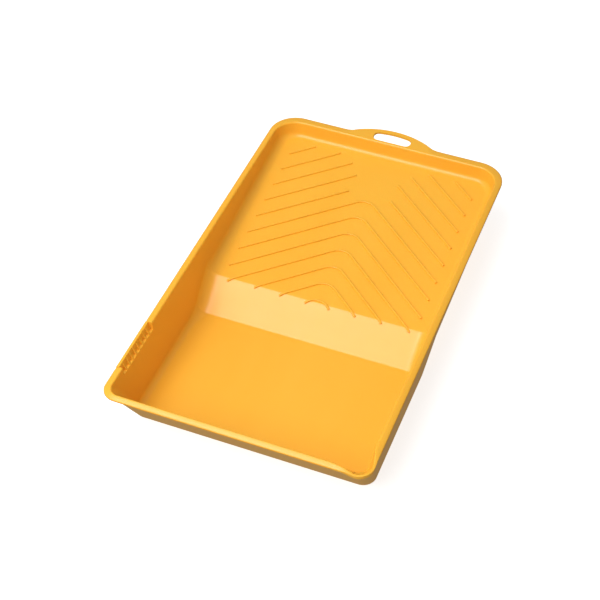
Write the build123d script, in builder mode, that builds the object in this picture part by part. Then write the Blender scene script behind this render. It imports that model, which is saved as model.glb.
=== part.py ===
"""Paint roller tray: a deep well, a drop, a ribbed ramp, a rim with a comb and a spout, and a hanging tab.

Millimetres, +Z up. The origin is under the middle of the whole tray, tab included, on the surface it
stands on. +Y runs from the deep end to the hanging tab, and X runs across.
"""

from build123d import *
import math
import os

# Driving dimensions
tray_width = 237.4  # across the rim
rim_length = 405.0  # rim, front to back, without the tab
tab_reach = 11.6  # how far the hanging tab stands out behind the rim
tray_height = 61.0  # standing surface to the top of the rim

side_wall = 3.5
end_wall = 3.5
back_wall_thickness = 2.5
floor_thickness = 3.0
rim_height = 3.3
rim_to_void = 6.5  # rim's outer edge to the inside of the side walls, at the top
rim_to_void_front = 5.1
rim_to_void_back = 9.8

side_draft = 0.08  # how much the walls close in per millimetre of depth
front_lean = 0.577
front_corner = 9.0  # plan radii of the hollow's corners
back_corner = 22.0
rim_front_corner = 14.0
rim_back_corner = 27.0
base_fillet = 6.5
under_fillet = 4.0
rim_inner_round = 2.2
rim_outer_round = 2.6

step_bottom_from_front = 169.0
crest_from_front = 199.6
crest_height = 24.3  # above the standing surface
ramp_rise = 0.1096  # climb of the ramp per millimetre

rib_width = 2.0
rib_height = 1.2
rib_top_chamfer = 0.5
rib_pitch = 21.8
rib_angle = 39.4  # arms to the X axis, degrees
rib_end_x = 93.4
chevron_apexes_from_front = (334.7, 313.3, 291.7, 270.0, 248.7, 228.0, 208.4)  # of the sharp V
chevron_bend_radius = 14.0
diagonal_inner_ends = (21.0, 20.9, 33.3, 47.4, 74.0)  # front one first

tab_arch_radius = 76.0
tab_root_radius = 9.0
tab_thickness = 2.2
tab_segment = 48.0  # half the width of rim that belongs to the tab
tab_strip = 4.9  # material left behind the slot
slot_half = 19.0
slot_corner = 5.2
slot_front_from_rim_back = 7.3

comb_front_from_front = 33.8
comb_length = 56.6
comb_depth = 8.5
comb_outer_strip = 3.0  # rim left outside the pocket
comb_shell = 2.4
comb_rib_count = 8
comb_rib_width = 0.9
comb_rib_toe = 1.2  # height of a rib's low end above the ledge
comb_ledge_clear = 1.3  # ledge left bare inside the ribs

spout_size = 29.5  # side of the corner that the spout takes up
spout_depth = 7.0
spout_lip_drop = 4.0
spout_round = 22.0
spout_tilt = 15.0

foot_x = 68.0
foot_from_front = 375.0
foot_width = 24.0
foot_depth = 14.0
foot_wall = 3.0
foot_taper = 2.0

# Worked out from them
rim_front = -(rim_length + tab_reach) / 2
rim_back = rim_front + rim_length
rim_middle = (rim_front + rim_back) / 2
half_width = tray_width / 2
rim_bottom = tray_height - rim_height
step_bottom = rim_front + step_bottom_from_front
crest = rim_front + crest_from_front
side_cut = 98.0  # the side walls own everything outboard of this
front_cut = rim_front + 44.0
back_cut = rim_back - 18.0
far = 300.0
chevron_slope = math.tan(math.radians(rib_angle))
comb_front = rim_front + comb_front_from_front
comb_back = comb_front + comb_length
comb_ledge = tray_height - comb_depth
spout_edge_x = half_width - spout_size
spout_edge_y = rim_front + spout_size + 7.0
spout_bottom = tray_height - spout_depth


def ramp_z(y):
    """Height of the ramp's upper face at y."""
    return crest_height + ramp_rise * (y - crest)


def rounded_plan(height, half_x, front, back, front_radius, back_radius):
    """Rectangle with small front corners and large back ones, lying at the height given."""
    with BuildSketch(Plane.XY.offset(height)) as plan:
        with Locations((0, (front + back) / 2)):
            Rectangle(2 * half_x, back - front)
        fillet(plan.vertices().sort_by(Axis.Y)[:2], front_radius)
        fillet(plan.vertices().sort_by(Axis.Y)[-2:], back_radius)
    return plan.sketch


def hollow_section(height):
    """Plan of the inside of the walls at a height."""
    down = tray_height - height
    half_x = half_width - rim_to_void - side_draft * down
    front = rim_front + rim_to_void_front + front_lean * down
    back = rim_back - rim_to_void_back - side_draft * down
    return rounded_plan(height, half_x, front, back, front_corner, back_corner)


def outside_section(height):
    """Plan of the outside of the walls at a height."""
    down = tray_height - height
    half_x = half_width - rim_to_void + side_wall - side_draft * down
    front = rim_front + rim_to_void_front + front_lean * down - end_wall * math.hypot(1, front_lean)
    back = rim_back - rim_to_void_back - side_draft * down + back_wall_thickness
    return rounded_plan(height, half_x, front, back, front_corner + side_wall, back_corner + side_wall)


def long_profile(thickness):
    """Side view of all that lies above the floor, the drop and the ramp, lowered by a thickness."""
    with BuildSketch(Plane.YZ) as profile:
        with BuildLine():
            Polyline(
                (-far, floor_thickness),
                (step_bottom, floor_thickness),
                (crest, crest_height),
                (far, ramp_z(far)),
                (far, 2 * tray_height),
                (-far, 2 * tray_height),
                close=True,
            )
        make_face()
        if thickness:
            offset(amount=thickness, kind=Kind.INTERSECTION)
    return profile.sketch


def base_edges(solid):
    """Edges where the floor, the drop and the ramp meet the walls."""
    bottom_faces = [face for face in solid.faces() if face.normal_at().Z < -0.5]
    places = {}
    for face in bottom_faces:
        for edge in face.edges():
            middle = edge.center()
            key = (round(middle.X, 2), round(middle.Y, 2), round(middle.Z, 2))
            places.setdefault(key, []).append(edge)
    return [edges[0] for edges in places.values() if len(edges) == 1]


def save(piece, name):
    """Labels a finished piece and writes it."""
    piece.part.label = name
    export_step(piece.part, f"parts/{name}.step")


os.makedirs("parts", exist_ok=True)

# The hollow of the tray, and the outside of its thin wall
with BuildPart() as hollow:
    loft(sections=[hollow_section(-2.0), hollow_section(tray_height + 3.0)], ruled=True)
    extrude(long_profile(0), amount=half_width + 20, both=True, mode=Mode.INTERSECT)
    fillet(base_edges(hollow.part), base_fillet)

with BuildPart() as outside:
    loft(sections=[outside_section(-6.0), outside_section(tray_height + 3.0)], ruled=True)
    extrude(long_profile(floor_thickness), amount=half_width + 20, both=True, mode=Mode.INTERSECT)
    fillet(base_edges(outside.part), under_fillet)

with BuildPart() as rim_solid:
    rim_plan = rounded_plan(
        rim_bottom, half_width, rim_front, rim_back, rim_front_corner, rim_back_corner
    )
    extrude(rim_plan, amount=rim_height)

# The corner that the spout takes up, and the block of rim and wall that holds the comb
with BuildPart() as spout_zone:
    with BuildSketch(Plane.XY.offset(spout_bottom)):
        with Locations((spout_edge_x, rim_front)):
            Rectangle(spout_size + 5, spout_edge_y - rim_front, align=(Align.MIN, Align.MIN))
    extrude(amount=spout_depth + 5)

with BuildPart() as comb_zone:
    with BuildSketch(Plane.XY.offset(comb_ledge - comb_shell)):
        with Locations((-half_width, comb_front - comb_shell)):
            Rectangle(14.0, comb_length + 2 * comb_shell, align=(Align.MIN, Align.MIN))
    extrude(amount=comb_depth + comb_shell + 5)

with BuildPart() as tab_zone:
    with BuildSketch(Plane.XY.offset(rim_bottom - 1)):
        with Locations((0, rim_back - 15)):
            Rectangle(2 * tab_segment, 60, align=(Align.CENTER, Align.MIN))
    extrude(amount=rim_height + 6)

# Thin wall of the whole tray below the rim, cut into its walls and panels further down
with BuildPart() as shell:
    add(outside.part)
    add(hollow.part, mode=Mode.SUBTRACT)
    with BuildSketch(Plane.XY.offset(rim_bottom)):
        Rectangle(2 * far, 2 * far)
    extrude(amount=far, mode=Mode.SUBTRACT)
    add(spout_zone.part, mode=Mode.SUBTRACT)
    add(comb_zone.part, mode=Mode.SUBTRACT)


def shell_piece(x_low, x_high, y_low, y_high):
    """Part of the thin wall between two X planes and two Y planes."""
    with BuildPart() as piece:
        add(shell.part)
        with BuildSketch(Plane.XY.offset(-1)):
            with Locations((x_low, y_low)):
                Rectangle(x_high - x_low, y_high - y_low, align=(Align.MIN, Align.MIN))
        extrude(amount=far, mode=Mode.INTERSECT)
    return piece


save(shell_piece(-side_cut, side_cut, front_cut, step_bottom), "well_floor")
save(shell_piece(-side_cut, side_cut, step_bottom, crest), "drop_slope")
save(shell_piece(-side_cut, side_cut, crest, back_cut), "ramp_panel")
save(shell_piece(-side_cut, side_cut, -far, front_cut), "front_wall")
save(shell_piece(-side_cut, side_cut, back_cut, far), "back_wall")
save(shell_piece(-far, -side_cut, -far, far), "left_wall")
save(shell_piece(side_cut, far, -far, far), "right_wall")

# Rim all round, rounded over at its inner and outer edges
with BuildPart() as rounded_rim:
    add(rim_solid.part)
    add(hollow.part, mode=Mode.SUBTRACT)
    rim_top = rounded_rim.faces().sort_by(Axis.Z)[-1]
    fillet(rim_top.inner_wires()[0].edges(), rim_inner_round)
    rim_top = rounded_rim.faces().sort_by(Axis.Z)[-1]
    fillet(rim_top.outer_wire().edges(), rim_outer_round)

with BuildPart() as rim_flange:
    add(rounded_rim.part)
    add(spout_zone.part, mode=Mode.SUBTRACT)
    add(comb_zone.part, mode=Mode.SUBTRACT)
    add(tab_zone.part, mode=Mode.SUBTRACT)

front_length, *side_lengths = rim_flange.solids().sort_by(Axis.Y)
left_length, right_length = ShapeList(side_lengths).sort_by(Axis.X)
rim_lengths = {"front_rim": front_length, "left_rim": left_length, "right_rim": right_length}
for name, length in rim_lengths.items():
    with BuildPart() as rim_piece:
        add(length)
    save(rim_piece, name)

# Hanging tab: its length of rim, square at the back, and an arched plate with a slot
arch_centre = rim_back + tab_reach - tab_arch_radius
slot_front = rim_back - slot_front_from_rim_back
with BuildPart() as hang_tab:
    add(rim_solid.part)
    add(tab_zone.part, mode=Mode.INTERSECT)
    add(hollow.part, mode=Mode.SUBTRACT)
    inner_edge = hang_tab.edges().filter_by(Axis.X).group_by(Axis.Y)[0].sort_by(Axis.Z)[-1]
    fillet(inner_edge, rim_inner_round)
    with BuildSketch(Plane.XY.offset(tray_height - tab_thickness)) as tab_plan:
        with Locations((0, arch_centre)):
            Circle(tab_arch_radius)
        with Locations((0, rim_back)):
            Rectangle(2 * far, 2 * far, align=(Align.CENTER, Align.MAX), mode=Mode.SUBTRACT)
        with Locations((0, rim_back)):
            Rectangle(2 * tab_segment, 1.0, align=(Align.CENTER, Align.MAX))
        roots = tab_plan.vertices().filter_by_position(Axis.Y, rim_back - 0.1, rim_back + 0.1)
        fillet(roots.filter_by_position(Axis.X, -tab_segment + 1, tab_segment - 1), tab_root_radius)
    extrude(amount=tab_thickness)
    with BuildSketch(Plane.XY.offset(rim_bottom - 1)) as slot_plan:
        with Locations((0, arch_centre)):
            Circle(tab_arch_radius - tab_strip)
        with Locations((0, slot_front)):
            Rectangle(2 * slot_half, tab_reach + 8, align=(Align.CENTER, Align.MIN), mode=Mode.INTERSECT)
        fillet(slot_plan.vertices(), slot_corner)
    extrude(amount=rim_height + 3, mode=Mode.SUBTRACT)
save(hang_tab, "hang_tab")

# Comb: a pocket in the left rim with a ledge at its foot, and upright ribs that wipe a brush
with BuildPart() as comb_pocket:
    with BuildSketch(Plane.XY.offset(comb_ledge - comb_shell)):
        with Locations((-half_width, comb_front - comb_shell)):
            Rectangle(14.0, comb_length + 2 * comb_shell, align=(Align.MIN, Align.MIN))
    extrude(amount=comb_depth + comb_shell)
    add(hollow.part, mode=Mode.SUBTRACT)
    outer_edge = comb_pocket.edges().filter_by(Axis.Y).group_by(Axis.X)[0].sort_by(Axis.Z)[-1]
    fillet(outer_edge, rim_outer_round)
    with BuildSketch(Plane.XY.offset(comb_ledge)):
        with Locations((-half_width + comb_outer_strip, comb_front)):
            Rectangle(20.0, comb_length, align=(Align.MIN, Align.MIN))
    extrude(amount=20, mode=Mode.SUBTRACT)
save(comb_pocket, "comb_pocket")

comb_back_face = -half_width + comb_outer_strip
comb_lip = -half_width + rim_to_void + side_draft * comb_depth
comb_pitch = comb_length / (comb_rib_count + 1)
with BuildPart() as comb_ribs:
    for number in range(comb_rib_count):
        rib_y = comb_front + comb_pitch * (number + 1)
        with BuildSketch(Plane.XZ.offset(-rib_y)):
            with BuildLine():
                Polyline(
                    (comb_back_face, comb_ledge),
                    (comb_lip - comb_ledge_clear, comb_ledge),
                    (comb_lip - comb_ledge_clear, comb_ledge + comb_rib_toe),
                    (comb_back_face, tray_height - 0.6),
                    close=True,
                )
            make_face()
        extrude(amount=comb_rib_width / 2, both=True)
save(comb_ribs, "comb_ribs")

# Spout: the front right corner of the rim, dished outwards so that it pours
corner_reach = rim_front_corner * (1 - math.sqrt(0.5))
lip_point = Vector(half_width - corner_reach, rim_front + corner_reach, tray_height - spout_lip_drop)
outwards = Vector(1, -1, 0).normalized()
tilt = math.radians(spout_tilt)
chute = outwards * math.cos(tilt) + Vector(0, 0, math.sin(tilt))
chute_up = Vector(0, 0, math.cos(tilt)) - outwards * math.sin(tilt)
with BuildPart() as pour_spout:
    spout_plan = rounded_plan(
        spout_bottom, half_width, rim_front, rim_back, rim_front_corner, rim_back_corner
    )
    extrude(spout_plan, amount=spout_depth)
    add(spout_zone.part, mode=Mode.INTERSECT)
    add(hollow.part, mode=Mode.SUBTRACT)
    with BuildSketch(Plane(origin=lip_point + chute_up * spout_round, z_dir=chute)):
        Circle(spout_round)
    extrude(amount=60, both=True, mode=Mode.SUBTRACT)
save(pour_spout, "pour_spout")

# Ramp ribs, drawn on the ramp's own plane: nested chevrons, then separate diagonals beside them
ramp_angle = math.atan(ramp_rise)
ramp_plane = Plane(
    origin=(0, crest, crest_height),
    x_dir=(1, 0, 0),
    z_dir=(0, -math.sin(ramp_angle), math.cos(ramp_angle)),
)


def on_ramp(x, y):
    """A point of the ramp's plane from its X and its Y in the tray."""
    return (x, (y - crest) / math.cos(ramp_angle))


def chamfer_rib_tops(ribs):
    """Bevels the top edges of ribs that stand on the ramp."""
    crowns = ribs.faces().filter_by(lambda face: face.normal_at().dot(ramp_plane.z_dir) > 0.99)
    chamfer(crowns.edges(), rib_top_chamfer)


with BuildPart() as chevron_ribs:
    with BuildSketch(ramp_plane):
        for apex_from_front in chevron_apexes_from_front:
            apex = rim_front + apex_from_front
            end_x = min(rib_end_x, (apex - crest - 1.0) / chevron_slope)
            end_y = apex - chevron_slope * end_x
            with BuildLine():
                FilletPolyline(
                    on_ramp(-end_x, end_y),
                    on_ramp(0, apex),
                    on_ramp(end_x, end_y),
                    radius=min(chevron_bend_radius, 1.2 * end_x),
                )
            trace(line_width=rib_width)
    extrude(amount=rib_height)
    chamfer_rib_tops(chevron_ribs)
save(chevron_ribs, "chevron_ribs")

first_diagonal = rim_front + chevron_apexes_from_front[0] - chevron_slope * rib_end_x + rib_pitch
for side_name, sign in (("left", -1), ("right", 1)):
    with BuildPart() as diagonal_ribs:
        with BuildSketch(ramp_plane):
            for number, inner_x in enumerate(diagonal_inner_ends):
                outer_y = first_diagonal + rib_pitch * number
                inner_y = outer_y + chevron_slope * (rib_end_x - inner_x)
                with BuildLine():
                    Line(on_ramp(sign * rib_end_x, outer_y), on_ramp(sign * inner_x, inner_y))
                trace(line_width=rib_width)
        extrude(amount=rib_height)
        chamfer_rib_tops(diagonal_ribs)
    save(diagonal_ribs, f"{side_name}_diagonal_ribs")

# Rear feet: U-shaped posts under the shallow end, open at the back, that keep the tray level
foot_y = rim_front + foot_from_front
for side_name, sign in (("left", -1), ("right", 1)):
    with BuildPart() as rear_foot:
        with BuildSketch():
            with Locations((sign * foot_x, foot_y)):
                Rectangle(foot_width, foot_depth)
        with BuildSketch(Plane.XY.offset(tray_height)):
            with Locations((sign * foot_x, foot_y)):
                Rectangle(foot_width + 2 * foot_taper, foot_depth + 2 * foot_taper)
        loft()
        with BuildSketch(Plane.XY.offset(-1)):
            with Locations((sign * foot_x, foot_y + foot_wall + 10)):
                Rectangle(foot_width - 2 * foot_wall, foot_depth + 20)
        extrude(amount=far, mode=Mode.SUBTRACT)
        add(outside.part, mode=Mode.SUBTRACT)
    save(rear_foot, f"rear_foot_{side_name}")
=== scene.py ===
"""Paint roller tray: one seamless moulded shell, its ribs and comb, dressed in satin yellow plastic.

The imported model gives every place. Sizes in the classes are in millimetres unless they say metres.
"""

import logging
import math
from dataclasses import dataclass, field
from enum import Enum
from typing import Any, Sequence

import bmesh
import bpy
from mathutils import Matrix, Vector


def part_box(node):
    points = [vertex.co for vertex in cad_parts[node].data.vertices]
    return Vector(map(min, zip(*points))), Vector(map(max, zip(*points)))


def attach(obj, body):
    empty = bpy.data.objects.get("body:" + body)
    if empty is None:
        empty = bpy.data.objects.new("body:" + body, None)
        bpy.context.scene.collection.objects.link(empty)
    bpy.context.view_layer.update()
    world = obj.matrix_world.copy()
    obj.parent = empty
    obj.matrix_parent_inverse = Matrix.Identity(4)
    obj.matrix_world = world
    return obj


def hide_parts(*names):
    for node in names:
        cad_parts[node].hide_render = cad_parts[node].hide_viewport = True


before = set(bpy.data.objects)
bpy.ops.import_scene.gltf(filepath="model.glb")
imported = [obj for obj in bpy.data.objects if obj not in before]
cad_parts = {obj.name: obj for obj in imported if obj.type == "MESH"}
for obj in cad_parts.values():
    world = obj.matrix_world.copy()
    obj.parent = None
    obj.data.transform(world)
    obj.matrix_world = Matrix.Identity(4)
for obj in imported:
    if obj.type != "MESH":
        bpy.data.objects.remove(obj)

MM = 0.001
BODY = "root"
LOG = logging.getLogger("paint_tray")

Point2 = tuple[float, float]
Point3 = tuple[float, float, float]


class Edge(Enum):
    """Stretch of the tray's outline, going round anticlockwise from the front left."""

    FRONT = "front"
    FRONT_RIGHT = "front right corner"
    RIGHT = "right"
    BACK_RIGHT = "back right corner"
    BACK = "back"
    BACK_LEFT = "back left corner"
    LEFT = "left"
    FRONT_LEFT = "front left corner"


class RimCut(Enum):
    """What the left rim holds at a station."""

    PLAIN = "plain rim"
    HOUSING = "solid block at either end of the comb pocket"
    POCKET = "open comb pocket"


class RibSide(Enum):
    """Side of the ramp that a set of diagonal ribs is on."""

    LEFT = -1.0
    RIGHT = 1.0


@dataclass(frozen=True)
class Station:
    """One place round the outline.

    The value is an X on the front and back, a Y on the sides, and in a corner the angle in degrees
    turned since the corner began.
    """

    edge: Edge
    value: float
    cut: RimCut = RimCut.PLAIN

    def inward(self) -> Point2:
        """Returns the level direction that points into the tray, square to the outline."""
        turned = math.radians(self.value)
        directions = {
            Edge.FRONT: (0.0, 1.0),
            Edge.RIGHT: (-1.0, 0.0),
            Edge.BACK: (0.0, -1.0),
            Edge.LEFT: (1.0, 0.0),
            Edge.FRONT_RIGHT: (-math.sin(turned), math.cos(turned)),
            Edge.BACK_RIGHT: (-math.cos(turned), -math.sin(turned)),
            Edge.BACK_LEFT: (math.sin(turned), -math.cos(turned)),
            Edge.FRONT_LEFT: (math.cos(turned), math.sin(turned)),
        }
        return directions[self.edge]


@dataclass(frozen=True)
class Outline:
    """Rounded rectangle whose sides close in steadily with depth below the rim's top."""

    half_x: float
    front: float
    back: float
    front_radius: float
    back_radius: float
    side_rate: float = 0.0
    front_rate: float = 0.0
    back_rate: float = 0.0
    straight_depth: float = 13.0
    knee_reach: float = 23.7
    free_reach: float = 52.0

    def closing_rate(self, station: Station) -> float:
        """Returns how fast the wall moves inwards per millimetre of depth at a station."""
        x, y = station.inward()
        along = self.front_rate if y > 0 else self.back_rate
        return abs(x) * self.side_rate + abs(y) * along

    def side_y(self, value: float, depth: float) -> float:
        """Slides a station near the front wall back, so that it stays clear of the front corner.

        Args:
            value: Y of the station at the rim.
            depth: depth below the rim's top.

        Returns:
            Y of the station at that depth.
        """
        clear = self.front + self.free_reach
        if value >= clear or self.front_rate == 0.0:
            return value
        knee = self.front + self.knee_reach
        start = self.front + self.front_rate * self.straight_depth + self.front_radius
        corner = self.front + self.front_rate * depth + self.front_radius

        def behind_knee(y: float) -> float:
            """Returns where a station behind the knee stands at this depth."""
            if depth <= self.straight_depth:
                return y
            return corner + (y - start) / (clear - start) * (clear - corner)

        if value >= knee:
            return behind_knee(value)
        first = self.front + self.front_radius
        return mix(corner, behind_knee(knee), (value - first) / (knee - first))

    def at(self, station: Station, depth: float) -> Point2:
        """Finds the outline's point at a station.

        Args:
            station: place round the outline.
            depth: depth below the rim's top.

        Returns:
            X and Y of the point.
        """
        half_x = self.half_x - self.side_rate * depth
        front = self.front + self.front_rate * depth
        back = self.back - self.back_rate * depth
        if station.edge is Edge.FRONT:
            squeeze = (half_x - self.front_radius) / (self.half_x - self.front_radius)
            return station.value * squeeze, front
        if station.edge is Edge.BACK:
            return station.value, back
        if station.edge is Edge.RIGHT:
            return half_x, self.side_y(station.value, depth)
        if station.edge is Edge.LEFT:
            return -half_x, self.side_y(station.value, depth)
        is_front = station.edge in (Edge.FRONT_LEFT, Edge.FRONT_RIGHT)
        is_right = station.edge in (Edge.FRONT_RIGHT, Edge.BACK_RIGHT)
        radius = self.front_radius if is_front else self.back_radius
        centre_x = (half_x - radius) * (1 if is_right else -1)
        centre_y = front + radius if is_front else back - radius
        x, y = station.inward()
        return centre_x - radius * x, centre_y - radius * y


@dataclass(frozen=True)
class FloorLine:
    """Side view of a surface made of the floor, the drop and the ramp, eased at its two bends."""

    floor: float
    foot: float
    crest: float
    crest_height: float
    ramp_rise: float
    ease: float = 0.9

    def eased(self, y: float, bend: float, height: float, before: float, after: float) -> float:
        """Height at y on two straight lines that meet at a bend.

        Args:
            y: place along the tray.
            bend: Y of the bend.
            height: height of the bend.
            before: slope in front of the bend.
            after: slope behind the bend.

        Returns:
            The height.
        """
        run = y - bend
        if run <= -self.ease:
            return height + before * run
        if run >= self.ease:
            return height + after * run
        middle = (before + after) / 2
        return height + middle * run + (after - before) * (run * run + self.ease**2) / (4 * self.ease)

    def at(self, y: float) -> float:
        """Returns the surface's height at y."""
        drop = (self.crest_height - self.floor) / (self.crest - self.foot)
        if y < (self.foot + self.crest) / 2:
            return self.eased(y, self.foot, self.floor, 0.0, drop)
        return self.eased(y, self.crest, self.crest_height, drop, self.ramp_rise)

    def lowered(self, thickness: float) -> "FloorLine":
        """Returns the same line moved down square to itself by a thickness."""
        drop = (self.crest_height - self.floor) / (self.crest - self.foot)
        drop_fall = thickness * math.hypot(1, drop)
        ramp_fall = thickness * math.hypot(1, self.ramp_rise)
        foot = self.foot + (drop_fall - thickness) / drop
        crest = self.crest + (drop_fall - ramp_fall) / (drop - self.ramp_rise)
        height = self.crest_height - ramp_fall + self.ramp_rise * (crest - self.crest)
        return FloorLine(self.floor - thickness, foot, crest, height, self.ramp_rise, self.ease)


def conic(start: Point3, corner: Point3, end: Point3, weight: float, count: int) -> list[Point3]:
    """Points of a rounded corner, an exact arc when its two arms are equal.

    Args:
        start: first point.
        corner: point where the two straight faces would meet.
        end: last point.
        weight: sine of half the angle between the faces.
        count: number of points.

    Returns:
        The points, first and last included.
    """
    points = []
    for number in range(count):
        t = number / (count - 1)
        shares = ((1 - t) ** 2, 2 * t * (1 - t) * weight, t * t)
        total = sum(shares)
        points.append(
            tuple(
                (shares[0] * a + shares[1] * b + shares[2] * c) / total
                for a, b, c in zip(start, corner, end)
            )
        )
    return points


def smooth_step(value: float, low: float, high: float) -> float:
    """Returns 0 below low, 1 above high, and an eased climb between."""
    t = min(1.0, max(0.0, (value - low) / (high - low)))
    return t * t * (3 - 2 * t)


def mix(a: float, b: float, t: float) -> float:
    """Returns the value a share t of the way from a to b."""
    return a + (b - a) * t


def join_object(name: str, mesh: bpy.types.Mesh) -> bpy.types.Object:
    """Puts a mesh into the scene.

    Args:
        name: name of the object.
        mesh: its mesh.

    Returns:
        The new object.
    """
    mesh.name = name
    piece = bpy.data.objects.new(name, mesh)
    bpy.context.scene.collection.objects.link(piece)
    return piece


def settle(piece: bpy.types.Object, *nodes: str) -> bpy.types.Object:
    """Fixes a finished piece to the tray.

    Args:
        piece: the finished piece.
        nodes: CAD nodes that it stands for.

    Returns:
        The same piece.
    """
    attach(piece, BODY)
    if nodes:
        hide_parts(*nodes)
    LOG.info("%s: %d faces", piece.name, len(piece.data.polygons))
    return piece


@dataclass(frozen=True)
class TrayPlaces:
    """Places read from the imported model, in millimetres."""

    half_width: float
    rim_front: float
    rim_back: float
    top: float
    tab_back: float
    foot_line: float
    crest: float
    crest_height: float
    ramp_rise: float
    floor: float
    comb_front: float
    comb_back: float
    comb_floor: float
    rib_half_width: float

    @classmethod
    def from_frame(cls) -> "TrayPlaces":
        """Reads the boxes of the CAD nodes."""

        def corners(node: str) -> tuple[Vector, Vector]:
            """Returns a node's two corners in millimetres."""
            low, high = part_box(node)
            return low / MM, high / MM

        _, rim_high = corners("right_rim")
        front_low, _ = corners("front_rim")
        _, tab_high = corners("hang_tab")
        drop_low, drop_high = corners("drop_slope")
        _, floor_high = corners("well_floor")
        _, ramp_high = corners("ramp_panel")
        comb_low, comb_high = corners("comb_pocket")
        rib_low, rib_high = corners("chevron_ribs")
        return cls(
            half_width=rim_high.x,
            rim_front=front_low.y,
            rim_back=rim_high.y,
            top=rim_high.z,
            tab_back=tab_high.y,
            foot_line=drop_low.y,
            crest=drop_high.y,
            crest_height=drop_high.z,
            ramp_rise=(ramp_high.z - drop_high.z) / (ramp_high.y - drop_high.y),
            floor=floor_high.z,
            comb_front=comb_low.y,
            comb_back=comb_high.y,
            comb_floor=comb_low.z,
            rib_half_width=(rib_high.x - rib_low.x) / 2,
        )


@dataclass(frozen=True)
class Spout:
    """Pouring corner: the front right of the rim dips and flares into a thin lip."""

    front_run: float = 17.0
    side_run: float = 17.0
    ease: float = 16.0
    dip_start: float = 6.0
    dip_ease: float = 16.0
    dip: float = 2.4
    lip: float = 1.9
    reach: float = 16.0
    scoop: float = 0.7
    shell: float = 2.0
    deepening: float = 2.2
    flare_power: float = 0.8
    least_wall: float = 0.8

    def shares(self, station: Station, places: TrayPlaces, radius: float) -> Point2:
        """How much of the spout there is at a station.

        Args:
            station: place round the outline.
            places: places of the tray.
            radius: radius of the rim's front corner.

        Returns:
            Share of the flare and share of the dip, 0 on plain rim and 1 in the middle.
        """
        corner = math.pi / 2 * radius
        if station.edge is Edge.FRONT:
            along = station.value - (places.half_width - radius - self.front_run)
        elif station.edge is Edge.FRONT_RIGHT:
            along = self.front_run + corner * station.value / 90
        elif station.edge is Edge.RIGHT:
            beyond = station.value - (places.rim_front + radius)
            along = self.front_run + corner + beyond
        else:
            return 0.0, 0.0
        nearest = min(along, self.front_run + corner + self.side_run - along)
        flare = max(0.0, min(1.0, nearest / self.ease)) ** self.flare_power
        return flare, smooth_step(nearest, self.dip_start, self.dip_start + self.dip_ease)

    def shrink(self, span: float, flare: float) -> float:
        """Returns how much smaller the rim's top is than on plain rim."""
        return mix(1.0, self.lip / span, flare)

    def inner(self, depth: float, span: float, slope: float, start: float, shares: Point2) -> Point2:
        """Finds a point of the inner wall, laid back between the lip and the plain wall.

        Args:
            depth: depth of the point on a plain wall.
            span: distance from the rim's outer edge in to the wall's top.
            slope: how fast the wall closes in with depth.
            start: depth of the wall's first point under the rim's rounding.
            shares: how much of the flare and of the dip there is here.

        Returns:
            The distance inwards and the depth.
        """
        flare, dip = shares
        plain = span + slope * depth
        if flare <= 0.0 or depth >= self.reach:
            return plain, depth
        small = self.shrink(span, flare)
        top = (small * (span + slope * start), self.dip * dip + small * start)
        share = (depth - start) / (self.reach - start)
        inward = mix(top[0], span + slope * self.reach, share)
        hollow = self.scoop * flare * 4 * share * (1 - share)
        return inward - hollow, mix(top[1], self.reach, share)

    def outer(self, depth: float, plain: float, at_lip: Point2, at_foot: Point2) -> float:
        """Keeps the outside of the wall clear of the laid back inner wall.

        Args:
            depth: depth below the rim's top.
            plain: distance of the plain outer wall from the rim's outer edge.
            at_lip: first point of the inner wall.
            at_foot: point where the inner wall is plain again.

        Returns:
            The distance inwards.
        """
        share = min(1.0, max(0.0, (depth - at_lip[1]) / (at_foot[1] - at_lip[1])))
        if share >= 1.0:
            return plain
        slant = math.hypot(1.0, (at_foot[0] - at_lip[0]) / (at_foot[1] - at_lip[1]))
        near = mix(at_lip[0], at_foot[0], share) - self.scoop * 4 * share * (1 - share)
        return max(self.least_wall, min(plain, near - self.shell * slant))


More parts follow.
